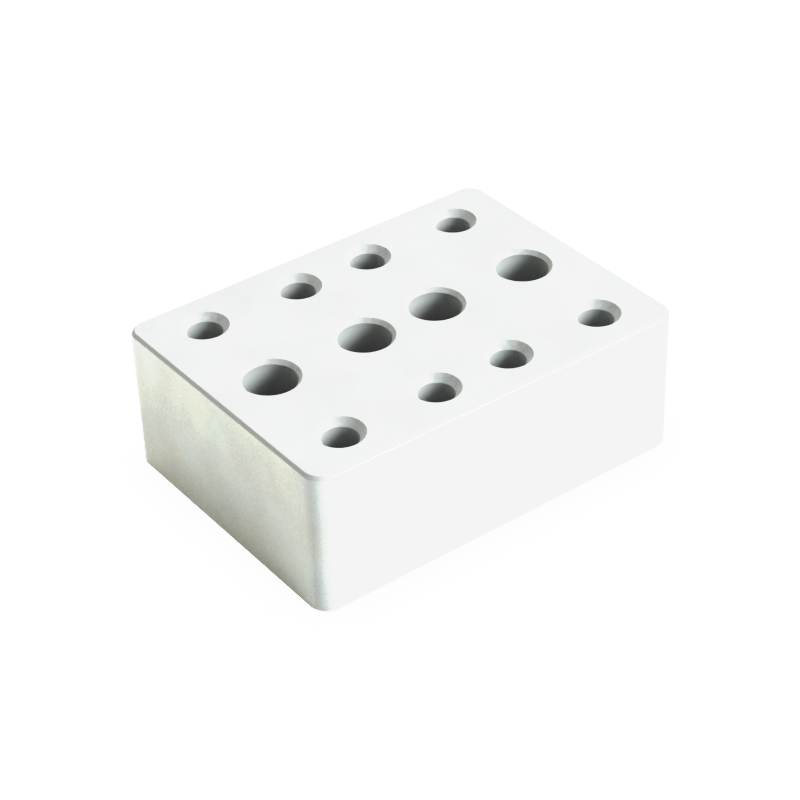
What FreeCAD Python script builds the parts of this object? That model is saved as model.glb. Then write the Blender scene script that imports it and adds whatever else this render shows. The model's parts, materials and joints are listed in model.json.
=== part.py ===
import FreeCAD, Part
import math
import os
import Sketcher

# Heating block: one solid aluminium insert with three rows of drilled wells.
# Millimetres. X runs along the block, Y across it and Z up.
# The origin is the middle of the underside.

# Driving sizes, one spreadsheet cell each.
driving_sizes = {
    # outer form
    "block_length": 138.0,
    "block_width": 101.6,
    "block_height": 49.7,
    "corner_radius": 6.0,
    "top_chamfer": 1.1,
    "base_edge_break": 0.3,
    # places of the wells
    "end_margin": 20.1,  # end face to the axes of the outer columns
    "middle_pitch": 27.4,  # axis to axis between the two inner columns
    "side_margin": 15.0,  # long face to the axes of the outer rows
    # small wells, in the two outer rows
    "small_bore": 11.4,
    "small_lead_in": 2.1,  # countersink width from the bore out to the rim
    "small_floor": 11.5,  # metal left under the drill point
    # large wells, in the middle row
    "large_bore": 17.0,
    "large_lead_in": 1.2,
    "large_floor": 6.5,
    # tools that cut both kinds of well
    "countersink_angle": 82.0,
    "drill_point_angle": 118.0,
}

doc = FreeCAD.newDocument("heating_block_model")
sheet = doc.addObject("Spreadsheet::Sheet", "sizes")
for row, (alias, value) in enumerate(driving_sizes.items(), start=1):
    sheet.set(f"A{row}", alias)
    sheet.set(f"B{row}", str(value))
    sheet.setAlias(f"B{row}", alias)
doc.recompute()

body = doc.addObject("PartDesign::Body", "heating_block")
body.Label = "heating_block"

# Where the columns and rows of wells stand, measured out from the middle of the block.
column_places = {
    "inner": "sizes.middle_pitch / 2",
    "outer": "sizes.block_length / 2 - sizes.end_margin",
}
outer_row_place = "sizes.block_width / 2 - sizes.side_margin"
sides = {"left": -1, "right": 1}
outer_rows = {"front": -1, "back": 1}
middle_row = {"middle": 0}

# Sketcher's own names for the sketch origin, its X axis and a circle's centre.
origin_point = (-1, 1)
x_axis = -1
centre = 3
touching = 1e-6


def new_sketch(name, height):
    """Start a sketch parallel to the underside, raised to a height given as an expression."""
    base_plane = next(plane for plane in body.Origin.OriginFeatures if plane.Role == "XY_Plane")
    sketch = body.newObject("Sketcher::SketchObject", name)
    sketch.AttachmentSupport = (base_plane, "")
    sketch.MapMode = "FlatFace"
    sketch.setExpression("AttachmentOffset.Base.z", height)
    return sketch


def bind(sketch, name, expression, *constraint):
    """Add a dimension whose value comes from the spreadsheet."""
    start_value = 1.0
    index = sketch.addConstraint(Sketcher.Constraint(*constraint, start_value))
    sketch.renameConstraint(index, name)
    sketch.setExpression(f"Constraints.{name}", expression)


def bind_offset(sketch, name, expression, circle, direction, side):
    """Hold a circle's centre at a distance from the origin, on the given side of it."""
    ends = (*origin_point, circle, centre) if side > 0 else (circle, centre, *origin_point)
    bind(sketch, name, expression, f"Distance{direction}", *ends)


def edge_names(feature, wanted):
    """Names of a feature's edges that pass a test."""
    return [f"Edge{i}" for i, edge in enumerate(feature.Shape.Edges, start=1) if wanted(edge)]


def is_upright(edge):
    return edge.BoundBox.ZLength > sheet.block_height / 2


def lies_at(height):
    return lambda edge: max(abs(vertex.Z - height) for vertex in edge.Vertexes) < touching


def block_blank():
    """Rounded rectangular blank with its top edge chamfered and its base edge broken."""
    outline = new_sketch("outline", "0")
    corners = [FreeCAD.Vector(x, y, 0) for x, y in ((-1, -1), (1, -1), (1, 1), (-1, 1))]
    for i, corner in enumerate(corners):
        outline.addGeometry(Part.LineSegment(corner, corners[(i + 1) % 4]))
    front, right, back, left = range(4)
    for line in range(4):
        outline.addConstraint(Sketcher.Constraint("Coincident", line, 2, (line + 1) % 4, 1))
    for line in (front, back):
        outline.addConstraint(Sketcher.Constraint("Horizontal", line))
    for line in (left, right):
        outline.addConstraint(Sketcher.Constraint("Vertical", line))
    outline.addConstraint(Sketcher.Constraint("Symmetric", front, 1, back, 1, *origin_point))
    bind(outline, "length", "sizes.block_length", "DistanceX", front, 1, front, 2)
    bind(outline, "width", "sizes.block_width", "DistanceY", right, 1, right, 2)

    pad = body.newObject("PartDesign::Pad", "blank")
    pad.Profile = outline
    pad.setExpression("Length", "sizes.block_height")
    doc.recompute()

    corner_rounds = body.newObject("PartDesign::Fillet", "corner_rounds")
    corner_rounds.Base = (pad, edge_names(pad, is_upright))
    corner_rounds.setExpression("Radius", "sizes.corner_radius")
    doc.recompute()

    top_edge = body.newObject("PartDesign::Chamfer", "top_edge")
    top_edge.Base = (corner_rounds, edge_names(corner_rounds, lies_at(sheet.block_height)))
    top_edge.setExpression("Size", "sizes.top_chamfer")
    doc.recompute()

    base_edge = body.newObject("PartDesign::Chamfer", "base_edge")
    base_edge.Base = (top_edge, edge_names(top_edge, lies_at(0)))
    base_edge.setExpression("Size", "sizes.base_edge_break")
    doc.recompute()


def well_centres(kind, rows):
    """Sketch on the top face with one circle on the axis of each well of a kind."""
    sketch = new_sketch(f"{kind}_well_centres", "sizes.block_height")
    for row_name, row_side in rows.items():
        for column_name, column_place in column_places.items():
            for side_name, side in sides.items():
                start = FreeCAD.Vector(side, row_side, 0)
                circle = sketch.addGeometry(Part.Circle(start, FreeCAD.Vector(0, 0, 1), 1))
                well = f"{row_name}_{column_name}_{side_name}"
                bind(sketch, f"{well}_bore", f"sizes.{kind}_bore", "Diameter", circle)
                bind_offset(sketch, f"{well}_x", column_place, circle, "X", side)
                if row_side:
                    bind_offset(sketch, f"{well}_y", outer_row_place, circle, "Y", row_side)
                else:
                    sketch.addConstraint(Sketcher.Constraint("PointOnObject", circle, centre, x_axis))
    doc.recompute()
    return sketch


def well_volume(kind):
    """Metal that one well takes out: lead-in cone, straight wall and drill point."""
    bore_radius = getattr(sheet, f"{kind}_bore") / 2
    lead_in = getattr(sheet, f"{kind}_lead_in")
    mouth_radius = bore_radius + lead_in
    cone = lead_in / math.tan(math.radians(sheet.countersink_angle / 2))
    point = bore_radius / math.tan(math.radians(sheet.drill_point_angle / 2))
    wall = sheet.block_height - getattr(sheet, f"{kind}_floor") - cone - point
    cone_area = (mouth_radius**2 + mouth_radius * bore_radius + bore_radius**2) / 3
    return math.pi * (cone * cone_area + wall * bore_radius**2 + point * bore_radius**2 / 3)


def drill_wells(kind, rows):
    """Blind wells of one kind: countersunk at the mouth, with the drill's point at the bottom."""
    before = body.Shape.Volume
    sketch = well_centres(kind, rows)
    wells = body.newObject("PartDesign::Hole", f"{kind}_wells")
    wells.Profile = sketch
    doc.recompute()
    wells.DepthType = "Dimension"
    wells.DrillPoint = "Angled"
    wells.DrillForDepth = True
    wells.HoleCutType = "Countersink"
    wells.setExpression("Diameter", f"sizes.{kind}_bore")
    wells.setExpression("Depth", f"sizes.block_height - sizes.{kind}_floor")
    wells.setExpression("DrillPointAngle", "sizes.drill_point_angle")
    wells.setExpression("HoleCutDiameter", f"sizes.{kind}_bore + 2 * sizes.{kind}_lead_in")
    wells.setExpression("HoleCutCountersinkAngle", "sizes.countersink_angle")
    doc.recompute()

    removed = before - body.Shape.Volume
    count = len(rows) * len(column_places) * len(sides)
    if abs(removed / (count * well_volume(kind)) - 1) > 1e-3:
        raise RuntimeError(f"the {kind} wells took out {removed:.1f} mm3, not the metal of {count} wells")
    print(f"{count} {kind} wells, {removed / 1000:.1f} cm3 of metal taken out")


block_blank()
drill_wells("small", outer_rows)
drill_wells("large", middle_row)

failed = [item.Name for item in doc.Objects if {"Invalid", "Error"} & set(item.State)]
if failed:
    raise RuntimeError(f"features that failed: {failed}")
if body.Shape.isNull() or not body.Shape.isValid() or len(body.Shape.Solids) != 1:
    raise RuntimeError("the block isn't one valid solid")

box = body.Shape.BoundBox
print(f"block {box.XLength:.2f} x {box.YLength:.2f} x {box.ZLength:.2f} mm")
print(f"metal {body.Shape.Volume / 1000:.1f} cm3")
os.makedirs("parts", exist_ok=True)
body.Shape.exportStep(f"parts/{body.Label}.step")
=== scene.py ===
import bpy
import json
import math
import numpy as np
from mathutils import Matrix, Vector

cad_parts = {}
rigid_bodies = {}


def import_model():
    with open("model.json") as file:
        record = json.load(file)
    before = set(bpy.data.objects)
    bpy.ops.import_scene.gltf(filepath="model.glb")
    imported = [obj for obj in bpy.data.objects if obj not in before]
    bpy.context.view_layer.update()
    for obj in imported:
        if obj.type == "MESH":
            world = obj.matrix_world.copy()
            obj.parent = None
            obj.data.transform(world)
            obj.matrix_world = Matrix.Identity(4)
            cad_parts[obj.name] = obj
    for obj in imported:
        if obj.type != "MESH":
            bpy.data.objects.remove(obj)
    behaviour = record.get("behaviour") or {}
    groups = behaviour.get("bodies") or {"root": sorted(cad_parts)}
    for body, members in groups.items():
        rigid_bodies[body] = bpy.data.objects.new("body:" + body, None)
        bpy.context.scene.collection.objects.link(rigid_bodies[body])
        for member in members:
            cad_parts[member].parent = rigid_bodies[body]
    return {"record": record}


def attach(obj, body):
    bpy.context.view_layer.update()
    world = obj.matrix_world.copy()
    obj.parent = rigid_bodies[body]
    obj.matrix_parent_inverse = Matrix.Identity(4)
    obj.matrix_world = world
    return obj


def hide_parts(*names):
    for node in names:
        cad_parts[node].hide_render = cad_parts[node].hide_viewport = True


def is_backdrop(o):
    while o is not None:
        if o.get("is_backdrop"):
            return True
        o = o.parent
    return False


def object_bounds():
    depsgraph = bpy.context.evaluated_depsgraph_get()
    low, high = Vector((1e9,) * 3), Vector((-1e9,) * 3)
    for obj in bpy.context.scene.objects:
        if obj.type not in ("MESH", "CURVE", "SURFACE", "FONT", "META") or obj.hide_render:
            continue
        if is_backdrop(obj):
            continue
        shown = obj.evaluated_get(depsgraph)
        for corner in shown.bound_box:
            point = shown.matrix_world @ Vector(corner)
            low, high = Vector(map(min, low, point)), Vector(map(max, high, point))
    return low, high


# Heating block: the milled block with its drilled wells, dressed as blasted and anodised aluminium.
# Everything is in metres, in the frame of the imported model.

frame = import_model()
cadLow, cadHigh = (np.array(corner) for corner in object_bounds())
print("frame loaded, box", cadLow.round(4), cadHigh.round(4))


# Shader maths: a wire is one value on its way through a node tree
class Wire:
    def __init__(self, tree, socket=None):
        self.tree = tree
        self.socket = socket

    # any node: its type, its settings, then what goes into its sockets, and which output to go on with
    def node(self, kind, settings, sockets, output=0):
        made = self.tree.nodes.new(kind)
        for name, value in settings.items():
            setattr(made, name, value)
        for key, value in sockets.items():
            if isinstance(value, Wire):
                self.tree.links.new(value.socket, made.inputs[key])
            else:
                made.inputs[key].default_value = value
        return Wire(self.tree, made.outputs[output]) if made.outputs else None

    def math(self, operation, first, second):
        return self.node("ShaderNodeMath", {"operation": operation}, {0: first, 1: second})

    # the first colour where the share is 0, the second where it is 1
    def mixColours(self, share, first, second, blend="MIX"):
        return self.node("ShaderNodeMix", {"data_type": "RGBA", "blend_type": blend}, {
            0: share, 6: first, 7: second,
        }, 2)

    def __add__(self, other):
        return self.math("ADD", self, other)

    def __radd__(self, other):
        return self.math("ADD", other, self)

    def __sub__(self, other):
        return self.math("SUBTRACT", self, other)

    def __rsub__(self, other):
        return self.math("SUBTRACT", other, self)

    def __mul__(self, other):
        return self.math("MULTIPLY", self, other)

    def __rmul__(self, other):
        return self.math("MULTIPLY", other, self)


# Outline of the block and the profiles carried along it

block = {
    "node": "heating_block",
    "body": "root",
    "slot": "anodised_aluminium",
    "cornerRadius": 0.006,
    "topChamfer": 0.0011,
    "baseBreak": 0.0003,
    "edgeRounds": (0.0005, 0.0005, 0.00012, 0.00012),  # softened edges: the chamfer's two, the base's two
    "topBand": 0.0016,  # strip of the top face that belongs to the skin
    "baseBand": 0.004,  # strip of the underside that belongs to the skin
    "edgeSteps": 32,  # grid steps along one side of a well's cell
    "cornerSteps": 8,  # of those, the steps on half a rounded corner
    "roundSteps": 5,  # steps round a softened edge
}

wells = {
    "countersinkAngle": 82.0,
    "pointAngle": 118.0,
    "rimRound": 0.00012,
    "throatRound": 0.0001,
    "footRound": 0.0002,
    "rimBand": 0.0006,  # flat ring round each mouth
    "flatSteps": 3,  # grid steps from a cell's border to that ring
}


def heading(angle):
    return np.stack([np.cos(angle), np.sin(angle)], axis=-1)


def leftOf(angle):
    return np.stack([-np.sin(angle), np.cos(angle)], axis=-1)


# A polyline whose inner corners become arcs, each tangent to both of its sides:
# point = centre - radius * normal, while the normal turns evenly from one side's to the next one's.
# Gives points, normals on the left of the way, and wear, which is 0 on the flats and 1 in mid arc.
def roundedProfile(corners, radii, steps):
    corners = np.array(corners, float)
    ways = np.diff(corners, axis=0)
    angles = np.unwrap(np.arctan2(ways[:, 1], ways[:, 0]))
    share = np.linspace(0, 1, steps + 1)
    points, normals, wear = [corners[:1]], [leftOf(angles[:1])], [np.zeros(1)]
    for corner, radius, before, after in zip(corners[1:-1], radii, angles, angles[1:]):
        turn = after - before
        bend = math.copysign(radius, turn)
        centre = corner - bend * math.tan(turn / 2) * heading(before) + bend * leftOf(before)
        normals.append(leftOf(before + turn * share))
        points.append(centre - bend * normals[-1])
        wear.append(np.sin(np.pi * share))
    points.append(corners[-1:])
    normals.append(leftOf(angles[-1:]))
    wear.append(np.zeros(1))
    return np.concatenate(points), np.concatenate(normals), np.concatenate(wear)


# One side of the outline, from mid corner to mid corner: a straight run between two eighths of a circle,
# point = foot + radius * normal, with a fixed number of steps between the lines that part the wells' cells.
def sidePath(half, away, turn, lines):
    radius, steps, bends = block["cornerRadius"], block["edgeSteps"], block["cornerSteps"]
    run = half - radius
    stops = [-run, *lines, run]
    counts = [steps - bends, *[steps] * (len(lines) - 1), steps - bends]
    straight = [np.linspace(a, b, n, endpoint=False) for a, b, n in zip(stops, stops[1:], counts)]
    bend = np.linspace(0, math.pi / 4, bends + 1)
    foot = np.concatenate([np.full(bends, -run), *straight, np.full(bends, run)])
    angle = np.concatenate([-bend[:0:-1], np.zeros(sum(counts)), bend[:-1]])
    along, outward = heading(turn), heading(turn - math.pi / 2)
    normals = np.sin(angle)[:, None] * along + np.cos(angle)[:, None] * outward
    return foot[:, None] * along + (away - radius) * outward + radius * normals, normals


# The whole outline, once round to the left from the front left corner
def blockOutline(columnLines, rowLines):
    halfLength, halfWidth = cadHigh[0], cadHigh[1]
    sides = [
        (halfLength, halfWidth, 0.0, columnLines),
        (halfWidth, halfLength, math.pi / 2, rowLines),
        (halfLength, halfWidth, math.pi, -columnLines[::-1]),
        (halfWidth, halfLength, math.pi * 1.5, -rowLines[::-1]),
    ]
    paths, normals = zip(*[sidePath(*side) for side in sides])
    return np.concatenate(paths), np.concatenate(normals)


# Quads of a grid that closes on itself along its second direction
def ringFaces(rows, columns, first, flipped):
    at = first + np.arange(rows * columns).reshape(rows, columns)
    after = np.roll(at, -1, axis=1)
    faces = np.stack([at[:-1], after[:-1], after[1:], at[1:]], axis=-1).reshape(-1, 4)
    return faces[:, ::-1] if flipped else faces


# Collects grids of points and puts them into one closed mesh
class GridMesh:
    def __init__(self):
        self.points, self.normals, self.wear, self.faces, self.finish = [], [], [], [], []
        self.count = 0

    # places and normals are rows by columns by 3, wear is one number a row, finish one slot a row of faces
    def add(self, places, normals, wear, finish, flipped):
        rows, columns = places.shape[:2]
        self.points.append(places.reshape(-1, 3))
        self.normals.append(normals.reshape(-1, 3))
        self.wear.append(np.repeat(wear, columns))
        self.faces.append(ringFaces(rows, columns, self.count, flipped))
        self.finish.append(np.repeat(finish, columns))
        self.count += rows * columns

    # grids share the points on their borders, so equal points become one and collapsed quads triangles
    def build(self, name, materials):
        points = np.concatenate(self.points).round(9)
        points, kept, place = np.unique(points, axis=0, return_index=True, return_inverse=True)
        faces = place.reshape(-1)[np.concatenate(self.faces)]
        finish = np.concatenate(self.finish)
        same = faces == np.roll(faces, -1, axis=1)
        pinched = same.any(axis=1)
        others = (same[pinched].argmax(axis=1)[:, None] + np.arange(1, 4)) % 4
        triangles = np.take_along_axis(faces[pinched], others, axis=1)
        mesh = bpy.data.meshes.new(name)
        mesh.from_pydata(points.tolist(), [], faces[~pinched].tolist() + triangles.tolist())
        mesh.polygons.foreach_set("use_smooth", np.ones(len(faces), bool))
        mesh.polygons.foreach_set("material_index", np.concatenate([finish[~pinched], finish[pinched]]))
        worn = mesh.attributes.new("edgeWear", "FLOAT", "POINT")
        worn.data.foreach_set("value", np.concatenate(self.wear)[kept].astype(np.float32))
        for material in materials:
            mesh.materials.append(material)
        mesh.validate()
        mesh.normals_split_custom_set_from_vertices(np.concatenate(self.normals)[kept].tolist())
        made = bpy.data.objects.new(name, mesh)
        bpy.context.scene.collection.objects.link(made)
        return made


blastedSlot, chamferedSlot, countersunkSlot, boredSlot, milledSlot = range(5)


# Skin of the block: a profile of offsets and heights carried round the outline,
# place = outline + offset * outline normal, then straight in to the middle of the underside.
def addSkin(mesh, path, pathNormals):
    top, chamfer, broken = cadHigh[2], block["topChamfer"], block["baseBreak"]
    corners = [
        (-block["topBand"], top),
        (-chamfer, top),
        (0, top - chamfer),
        (0, broken),
        (-broken, 0),
        (-block["baseBand"], 0),
    ]
    profile, turns, wear = roundedProfile(corners, block["edgeRounds"], block["roundSteps"])
    offsets, heights = profile.T
    plan = path + offsets[:, None, None] * pathNormals
    shape = plan.shape[:2]
    places = np.dstack([plan, np.broadcast_to(heights[:, None], shape)])
    sideways = turns[:, :1, None] * pathNormals
    normals = np.dstack([sideways, np.broadcast_to(turns[:, 1:], shape)])
    finish = np.full(len(profile) - 1, blastedSlot)
    finish[block["roundSteps"] + 1] = chamferedSlot
    finish[-1] = milledSlot
    mesh.add(places, normals, wear, finish, flipped=True)

    shares = np.array([1.0, 0.5, 0.0])[:, None, None]
    base = shares * places[-1]
    downward = np.broadcast_to(normals[-1], base.shape)
    mesh.add(base, downward, np.zeros(3), np.full(2, milledSlot), flipped=True)


# Borders of the cells that share out the top face, one to a well, each once round to the left
def cellBorders(rim, columnLines, rowLines):
    steps = block["edgeSteps"]
    columns, rows = len(columnLines) + 1, len(rowLines) + 1
    edges = rim.reshape(-1, steps, 2)
    front, right, back, left = np.split(edges, np.cumsum([columns, rows, columns]))
    back, left = back[::-1], left[::-1]
    xNodes = [left[0, 0, 0], *columnLines, right[0, -1, 0]]
    yNodes = [front[0, -1, 1], *rowLines, back[0, 0, 1]]

    def line(start, end):
        return np.linspace(start, end, steps + 1)

    borders = []
    for j in range(rows):
        for i in range(columns):
            x0, x1, y0, y1 = xNodes[i], xNodes[i + 1], yNodes[j], yNodes[j + 1]
            borders.append(np.concatenate([
                front[i] if j == 0 else line((x0, y0), (x1, y0))[:-1],
                right[j] if i == columns - 1 else line((x1, y0), (x1, y1))[:-1],
                back[i] if j == rows - 1 else line((x0, y1), (x1, y1))[:0:-1],
                left[j] if i == 0 else line((x0, y0), (x0, y1))[:0:-1],
            ]))
    return np.array(borders)


# One well and its cell: rings that pass from the cell's border to the flat ring round the mouth,
# then a turned profile, place = axis + radius * (cos, sin), over the rim and down to the drill's point.
def addWell(mesh, border, mount):
    top = cadHigh[2]
    axis, middle = np.array(mount["pos_m"][:2]), mount["pos_m"][2]
    bore, wall = mount["dims"]["r_mm"] / 1000, mount["dims"]["length_mm"] / 1000
    throat, foot = middle + wall / 2, middle - wall / 2
    mouth = bore + (top - throat) * math.tan(math.radians(wells["countersinkAngle"] / 2))
    point = foot - bore / math.tan(math.radians(wells["pointAngle"] / 2))
    corners = [(mouth + wells["rimBand"], top), (mouth, top), (bore, throat), (bore, foot), (0, point)]
    rounds = [wells["rimRound"], wells["throatRound"], wells["footRound"]]
    profile, turns, wear = roundedProfile(corners, rounds, block["roundSteps"])

    around = heading(np.arctan2(*(border - axis).T[::-1]))
    ring = axis + profile[:, :1, None] * around
    shares = np.linspace(0, 1, wells["flatSteps"], endpoint=False)[:, None, None]
    plan = np.concatenate([(1 - shares) * border + shares * ring[0], ring])
    flats = np.full(wells["flatSteps"], top)
    heights = np.concatenate([flats, profile[:, 1]])
    sideways = np.concatenate([np.zeros_like(flats), -turns[:, 0]])
    upward = np.concatenate([np.ones_like(flats), -turns[:, 1]])
    sideways[-1], upward[-1] = 0, 1

    shape = plan.shape[:2]
    places = np.dstack([plan, np.broadcast_to(heights[:, None], shape)])
    normals = np.dstack([sideways[:, None, None] * around, np.broadcast_to(upward[:, None], shape)])
    finish = np.full(len(plan) - 1, boredSlot)
    rimEnd = wells["flatSteps"] + block["roundSteps"] + 1
    throatStart = rimEnd + 1
    finish[:rimEnd] = blastedSlot
    finish[rimEnd:throatStart] = countersunkSlot
    mesh.add(places, normals, np.concatenate([np.zeros_like(flats), wear]), finish, flipped=False)


# Finishes

blasted = {
    "colour": (0.838, 0.900, 0.922, 1),
    "patchColour": (0.707, 0.735, 0.744, 1),
    "stainTint": (1.045, 1.0, 0.955, 1),
    "metallic": 0.3,
    "roughness": 0.50,
    "patchSize": 0.022,
    "stainSize": 0.016,
    "speckleSize": 0.0004,
    "speckleContrast": 2.4,
    "grainSize": 0.00022,
    "grainHeight": 0.000012,
    "grainStrength": 0.35,
    "patchDulling": 0.06,  # how much the patches and the grain change the roughness
    "grainDulling": 0.10,
    "edgeSmoothing": 0.22,
}

chamfered = {
    "colour": (0.61, 0.62, 0.61, 1),
    "metallic": 0.0,
    "roughness": 0.55,
    "lineSize": 0.00009,
    "lineStretch": (0.03, 0.03, 1.0),  # lines are drawn out along the cut
    "lineHeight": 0.000003,
    "lineStrength": 0.4,
    "lineDulling": 0.14,
}

countersunk = {
    "colour": (0.775, 0.785, 0.78, 1),
    "streakColour": (0.63, 0.655, 0.645, 1),
    "streakSize": 0.0018,
    "metallic": 0.0,
    "roughness": 0.45,
    "feed": 0.00016,
    "grooveHeight": 0.000006,
    "grooveStrength": 0.5,
    "grooveDulling": 0.16,
}

bored = {
    "topColour": (0.550, 0.562, 0.555, 1),
    "deepShadeColour": (0.30, 0.303, 0.30, 1),
    "shadeFade": (0.0475, 0.0360),  # heights between which the top colour passes into the painted shade deep down
    "metallic": 0.0,
    "roughness": 0.60,
    "feed": 0.00025,
    "grooveHeight": 0.000008,
    "grooveStrength": 0.5,
    "grooveDulling": 0.16,
}

milled = {
    "colour": (0.76, 0.77, 0.77, 1),
    "metallic": 1.0,
    "roughness": 0.30,
    "cutterRadius": 0.063,
    "feed": 0.0012,
    "unsteadiness": 0.4,
    "grooveHeight": 0.000006,
    "grooveStrength": 0.4,
    "grooveDulling": 0.10,
}

# how far a turning tool's marks are drawn out along the cut
ringStretch = (0.02, 0.02, 1.0)


def newMaterial(name):
    material = bpy.data.materials.new(name)
    material.use_nodes = True
    material.node_tree.nodes.clear()
    return material, Wire(material.node_tree)


def finishSurface(start, sockets):
    shader = start.node("ShaderNodeBsdfPrincipled", {}, sockets)
    start.node("ShaderNodeOutputMaterial", {}, {"Surface": shader})


# Uneven finish: noise whose middle range is stretched over 0 to 1
def unevenness(start, place, size, detail):
    noise = start.node("ShaderNodeTexNoise", {}, {
        "Vector": place, "Scale": 1 / size, "Detail": detail, "Roughness": 0.55,
    })
    return start.node("ShaderNodeMapRange", {}, {"Value": noise, "From Min": 0.3, "From Max": 0.7})


# Glass-bead blasted skin: a fine grain of dimples, broad faint patches, and edges rubbed a little smoother
def blastedMaterial():
    material, start = newMaterial("blastedAluminium")
    place = start.node("ShaderNodeTexCoord", {}, {}, "Object")
    wear = start.node("ShaderNodeAttribute", {"attribute_name": "edgeWear"}, {}, "Fac")
    patches = unevenness(start, place, blasted["patchSize"], 5.0)
    stains = unevenness(start, place, blasted["stainSize"], 3.0)
    speckle = start.node("ShaderNodeTexNoise", {}, {
        "Vector": place, "Scale": 1 / blasted["speckleSize"], "Detail": 1.0,
    })
    grain = start.node("ShaderNodeTexNoise", {}, {
        "Vector": place, "Scale": 1 / blasted["grainSize"], "Detail": 2.0, "Roughness": 0.55,
    })
    share = patches + blasted["speckleContrast"] * (speckle - 0.5)
    clean = start.mixColours(share, blasted["colour"], blasted["patchColour"])
    colour = start.mixColours(stains, clean, blasted["stainTint"], "MULTIPLY")
    duller = blasted["patchDulling"] * (patches - 0.5) + blasted["grainDulling"] * (grain - 0.5)
    roughness = blasted["roughness"] + duller - blasted["edgeSmoothing"] * wear
    bump = start.node("ShaderNodeBump", {}, {
        "Height": grain, "Strength": blasted["grainStrength"], "Distance": blasted["grainHeight"],
    })
    finishSurface(start, {
        "Base Color": colour, "Metallic": blasted["metallic"], "Roughness": roughness, "Normal": bump,
    })
    return material


# Chamfer: cut after the blasting, so it is darker, with fine lines along the cut
def chamferedMaterial():
    material, start = newMaterial("chamferedAluminium")
    place = start.node("ShaderNodeTexCoord", {}, {}, "Object")
    drawn = start.node("ShaderNodeVectorMath", {"operation": "MULTIPLY"}, {
        0: place, 1: chamfered["lineStretch"],
    })
    lines = start.node("ShaderNodeTexNoise", {}, {
        "Vector": drawn, "Scale": 1 / chamfered["lineSize"], "Detail": 3.0, "Roughness": 0.6,
    })
    roughness = chamfered["roughness"] + chamfered["lineDulling"] * (lines - 0.5)
    bump = start.node("ShaderNodeBump", {}, {
        "Height": lines, "Strength": chamfered["lineStrength"], "Distance": chamfered["lineHeight"],
    })
    finishSurface(start, {
        "Base Color": chamfered["colour"],
        "Metallic": chamfered["metallic"],
        "Roughness": roughness,
        "Normal": bump,
    })
    return material


# Rings that a turning tool leaves: noise that is drawn out along the cut and changes quickly down the axis
def feedRings(start, place, feed):
    drawn = start.node("ShaderNodeVectorMath", {"operation": "MULTIPLY"}, {0: place, 1: ringStretch})
    return start.node("ShaderNodeTexNoise", {}, {
        "Vector": drawn, "Scale": 1 / feed, "Detail": 3.0, "Roughness": 0.65,
    })


# Countersinks: cut after the blasting, so they are smoother and show the tool's rings
def countersunkMaterial():
    material, start = newMaterial("countersunkAluminium")
    place = start.node("ShaderNodeTexCoord", {}, {}, "Object")
    rings = feedRings(start, place, countersunk["feed"])
    streaks = unevenness(start, place, countersunk["streakSize"], 2.0)
    colour = start.mixColours(streaks, countersunk["colour"], countersunk["streakColour"])
    roughness = countersunk["roughness"] + countersunk["grooveDulling"] * (rings - 0.5)
    bump = start.node("ShaderNodeBump", {}, {
        "Height": rings, "Strength": countersunk["grooveStrength"], "Distance": countersunk["grooveHeight"],
    })
    finishSurface(start, {
        "Base Color": colour, "Metallic": countersunk["metallic"], "Roughness": roughness, "Normal": bump,
    })
    return material


# Walls and points of the wells: painted shade, the colour darkens downwards into the wells
def boredMaterial():
    material, start = newMaterial("boredAluminium")
    place = start.node("ShaderNodeTexCoord", {}, {}, "Object")
    rings = feedRings(start, place, bored["feed"])
    height = start.node("ShaderNodeSeparateXYZ", {}, {0: place}, "Z")
    depth = start.node("ShaderNodeMapRange", {"interpolation_type": "SMOOTHSTEP"}, {
        "Value": height, "From Min": bored["shadeFade"][0], "From Max": bored["shadeFade"][1],
    })
    # painted shade: the walls' colour darkens with depth, where shade falls inside the wells
    colour = start.mixColours(depth, bored["topColour"], bored["deepShadeColour"])
    roughness = bored["roughness"] + bored["grooveDulling"] * (rings - 0.5)
    bump = start.node("ShaderNodeBump", {}, {
        "Height": rings, "Strength": bored["grooveStrength"], "Distance": bored["grooveHeight"],
    })
    finishSurface(start, {
        "Base Color": colour, "Metallic": bored["metallic"], "Roughness": roughness, "Normal": bump,
    })
    return material


# Milled underside: arcs left by a face mill that went along the block,
# step along = x - square root of (cutter radius squared - y squared), one groove each feed.
# Blender's bands repeat every pi / 10 at scale 1.
def milledMaterial():
    material, start = newMaterial("milledAluminium")
    place = start.node("ShaderNodeTexCoord", {}, {}, "Object")
    along = start.node("ShaderNodeSeparateXYZ", {}, {0: place}, "X")
    across = start.node("ShaderNodeSeparateXYZ", {}, {0: place}, "Y")
    reach = start.math("SQRT", milled["cutterRadius"] ** 2 - across * across, 0.0)
    step = start.node("ShaderNodeCombineXYZ", {}, {"X": along - reach})
    arcs = start.node("ShaderNodeTexWave", {"wave_type": "BANDS", "bands_direction": "X"}, {
        "Vector": step,
        "Scale": math.pi / 10 / milled["feed"],
        "Distortion": milled["unsteadiness"],
        "Detail": 2.0,
    })
    roughness = milled["roughness"] + milled["grooveDulling"] * (arcs - 0.5)
    bump = start.node("ShaderNodeBump", {}, {
        "Height": arcs, "Strength": milled["grooveStrength"], "Distance": milled["grooveHeight"],
    })
    finishSurface(start, {
        "Base Color": milled["colour"],
        "Metallic": milled["metallic"],
        "Roughness": roughness,
        "Normal": bump,
    })
    return material


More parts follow.
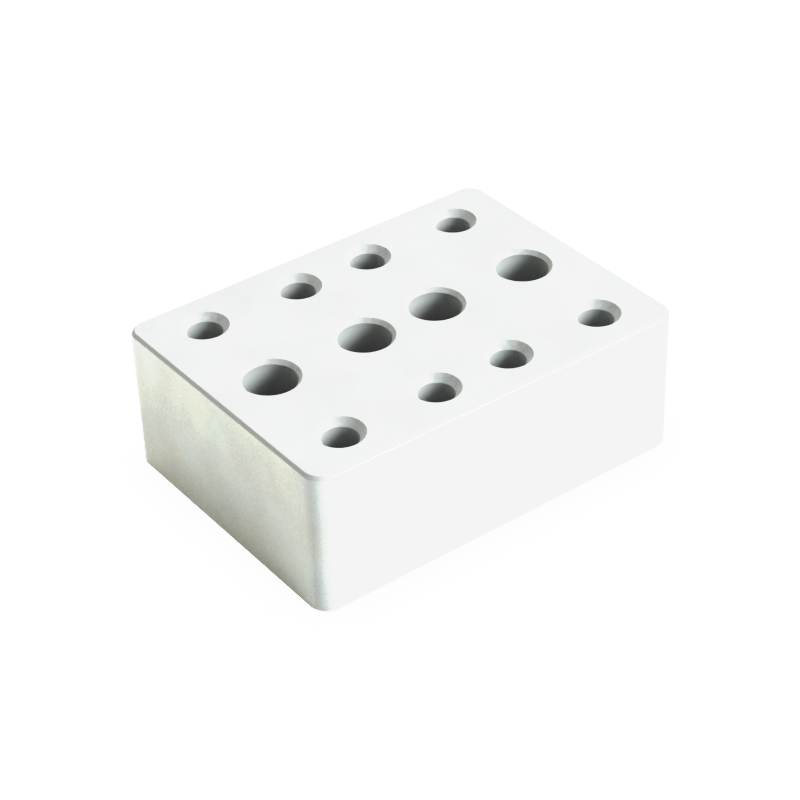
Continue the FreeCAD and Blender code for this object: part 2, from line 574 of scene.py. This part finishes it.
def makeBlock():
    mounts = [mount for mount in frame["record"]["mounts"] if mount["kind"] == "bore"]
    mounts.sort(key=lambda mount: (mount["pos_m"][1], mount["pos_m"][0]))
    xPlaces = np.unique([mount["pos_m"][0] for mount in mounts])
    yPlaces = np.unique([mount["pos_m"][1] for mount in mounts])
    columnLines = (xPlaces[1:] + xPlaces[:-1]) / 2
    rowLines = (yPlaces[1:] + yPlaces[:-1]) / 2
    path, pathNormals = blockOutline(columnLines, rowLines)
    mesh = GridMesh()
    addSkin(mesh, path, pathNormals)
    rim = path - block["topBand"] * pathNormals
    for border, mount in zip(cellBorders(rim, columnLines, rowLines), mounts):
        addWell(mesh, border, mount)
    finishes = [
        blastedMaterial(), chamferedMaterial(), countersunkMaterial(), boredMaterial(), milledMaterial(),
    ]
    made = mesh.build("finishedBlock", finishes)
    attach(made, block["body"])
    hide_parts(block["node"])
    print("block built,", len(made.data.polygons), "faces,", len(mounts), "wells")


# Stage: floor, light and camera

floor = {
    "half": 3.0,
    "drop": 0.00005,
    "white": (3.2, 3.2, 3.2, 1),  # overexposed paper looks whiter than the light it gives back
    # painted contact shadow: how dark the paper glows right at the block
    "contactShadow": (1.6, 1.6, 1.6, 1),
    "contactShadowReach": 0.02,
    "bounce": (0.20, 0.20, 0.20, 1),
}

# a dark room with soft panels: the way to each one, and the closeness to that way (1 is straight at it)
# at which its light starts and is full
tent = {
    "room": (0.0, 0.0, 0.0),
    "seen": (3.0, 3.0, 3.0, 1),
    "panels": {
        "backRight": {
            "way": (0.49, 0.64, 0.586), "reach": (0.6, 1.0),
            "tint": (1, 1, 1), "strength": 1.25,
        },
    },
}

lamps = {
    "key": {
        "place": (1.11, -1.74, 1.12), "size": 1.1,
        "tint": (0.94, 1.0, 0.97), "strength": 3.85, "lights": "finishedBlock",
    },
    "strip": {
        "place": (1.2, -2.15, 0.1), "size": 0.5,
        "tint": (1, 1, 1), "strength": 0.75, "lights": "finishedBlock",
    },
    "above": {
        "place": (0.0, 0.0, 2.0), "size": 1.0,
        "tint": (1, 1, 1), "strength": 0.55, "lights": "finishedBlock",
    },
    "fillSide": {
        "place": (-1.27, 1.27, 0.45), "size": 1.2,
        "tint": (1.03, 1.02, 0.88), "strength": 0.60, "lights": "finishedBlock",
    },
    "fillBelow": {
        "place": (-1.0, 1.53, -0.5), "size": 0.8,
        "tint": (1.05, 1.02, 0.84), "strength": 0.85, "lights": "finishedBlock",
    },
    "floorKey": {
        "place": (1.085, -1.671, 1.245), "size": 0.9,
        "tint": (1, 1.03, 0.97), "strength": 20.0, "lights": "floor",
    },
    "floorBack": {
        "place": (1.023, 1.309, 1.662), "size": 0.9,
        "tint": (1, 1.03, 0.97), "strength": 7.0, "lights": "floor",
    },
}

# contrast of the photograph: light as it comes in, and how bright it is shown, as coded for a screen
contrast = {
    "white": 3.0,
    "points": [
        (0.03, 0.20), (0.08, 0.27), (0.16, 0.41), (0.28, 0.58), (0.42, 0.71), (0.58, 0.83), (0.80, 0.946),
        (1.3, 0.957), (2.2, 0.985),
    ],
}

photoCamera = {
    "azimuth": -36.005,
    "elevation": 35.635,
    "roll": -1.946,
    "lens": 103.68,
    "sensor": 36.0,
    "distance": 0.72724,
    "across": -0.00080,
    "above": -0.00485,
}


def makeFloor():
    half, low = floor["half"], cadLow[2] - floor["drop"]
    mesh = bpy.data.meshes.new("floor")
    corners = [(-half, -half, low), (half, -half, low), (half, half, low), (-half, half, low)]
    mesh.from_pydata(corners, [], [(0, 1, 2, 3)])
    material, start = newMaterial("palePaper")
    material.cycles.emission_sampling = "NONE"
    seen = start.node("ShaderNodeLightPath", {}, {}, "Is Camera Ray")
    bounce = start.node("ShaderNodeBsdfDiffuse", {}, {"Color": floor["bounce"]})
    # painted contact shadow: ambient occlusion darkens the paper's glow near the block
    clear = start.node("ShaderNodeAmbientOcclusion", {}, {"Distance": floor["contactShadowReach"]}, "AO")
    shade = start.mixColours(clear, floor["contactShadow"], floor["white"])
    paper = start.node("ShaderNodeEmission", {}, {"Color": shade})
    both = start.node("ShaderNodeMixShader", {}, {0: seen, 1: bounce, 2: paper})
    start.node("ShaderNodeOutputMaterial", {}, {"Surface": both})
    mesh.materials.append(material)
    made = bpy.data.objects.new("floor", mesh)
    bpy.context.scene.collection.objects.link(made)
    made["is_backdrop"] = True


# Light of the tent: room + sum over the panels of tint * strength * smooth step of the turn towards the panel
def makeTent():
    world = bpy.data.worlds.new("lightTent")
    world.use_nodes = True
    world.node_tree.nodes.clear()
    start = Wire(world.node_tree)
    way = start.node("ShaderNodeTexCoord", {}, {}, "Generated")
    glow = tent["room"]
    for panel in tent["panels"].values():
        towards = Vector(panel["way"]).normalized()
        lean = start.node("ShaderNodeVectorMath", {"operation": "DOT_PRODUCT"}, {0: way, 1: towards}, "Value")
        share = start.node("ShaderNodeMapRange", {"interpolation_type": "SMOOTHSTEP"}, {
            "Value": lean, "From Min": panel["reach"][0], "From Max": panel["reach"][1],
        })
        colour = Vector(panel["tint"]) * panel["strength"]
        glow = start.node("ShaderNodeVectorMath", {"operation": "MULTIPLY_ADD"}, {
            0: share, 1: colour, 2: glow,
        })
    light = start.node("ShaderNodeBackground", {}, {"Color": glow})
    backdrop = start.node("ShaderNodeBackground", {}, {"Color": tent["seen"]})
    seen = start.node("ShaderNodeLightPath", {}, {}, "Is Camera Ray")
    both = start.node("ShaderNodeMixShader", {}, {0: seen, 1: light, 2: backdrop})
    start.node("ShaderNodeOutputWorld", {}, {"Surface": both})
    bpy.context.scene.world = world


# Strength is the light that falls on a square metre facing the lamp where the block stands.
# Only the block throws shadows, so a lamp below the floor stands for light that the floor throws up.
def makeLamps():
    shades = bpy.data.collections.new("throwsShadows")
    shades.objects.link(bpy.data.objects["finishedBlock"])
    for name, lamp in lamps.items():
        place = Vector(lamp["place"])
        light = bpy.data.lights.new(name, "AREA")
        light.shape = "SQUARE"
        light.size = lamp["size"]
        light.color = lamp["tint"]
        light.energy = lamp["strength"] * math.pi * place.length_squared
        made = bpy.data.objects.new(name, light)
        made.matrix_world = Matrix.Translation(place) @ place.to_track_quat("Z", "Y").to_matrix().to_4x4()
        bpy.context.scene.collection.objects.link(made)
        lit = bpy.data.collections.new(name + "Lights")
        lit.objects.link(bpy.data.objects[lamp["lights"]])
        made.light_linking.receiver_collection = lit
        made.light_linking.blocker_collection = shades


def makeCamera():
    azimuth, elevation, roll = (math.radians(photoCamera[k]) for k in ("azimuth", "elevation", "roll"))
    flat = math.cos(elevation)
    back = Vector((math.sin(azimuth) * flat, -math.cos(azimuth) * flat, math.sin(elevation)))
    level = Vector((math.cos(azimuth), math.sin(azimuth), 0))
    right = Matrix.Rotation(roll, 3, back) @ level
    up = back.cross(right)
    middle = Vector((cadLow + cadHigh) / 2)
    place = middle + back * photoCamera["distance"]
    place += right * photoCamera["across"] + up * photoCamera["above"]
    data = bpy.data.cameras.new("photoCamera")
    data.sensor_width = photoCamera["sensor"]
    data.lens = photoCamera["lens"]
    made = bpy.data.objects.new("photoCamera", data)
    made.matrix_world = Matrix.Translation(place) @ Matrix((right, up, back)).transposed().to_4x4()
    bpy.context.scene.collection.objects.link(made)
    bpy.context.scene.camera = made


# Screen code to light: ((code + 0.055) / 1.055) to the power 2.4.
# The last of the four curves is the one for all colours.
def setContrast():
    view = bpy.context.scene.view_settings
    view.view_transform = "Standard"
    view.look = "None"
    view.use_curve_mapping = True
    view.curve_mapping.white_level = (contrast["white"],) * 3
    curve = view.curve_mapping.curves[3]
    for light, code in contrast["points"]:
        curve.points.new(light / contrast["white"], ((code + 0.055) / 1.055) ** 2.4)
    view.curve_mapping.update()


def makeStage():
    setContrast()
    makeFloor()
    makeTent()
    makeLamps()
    makeCamera()
    print("stage set")


makeBlock()
makeStage()
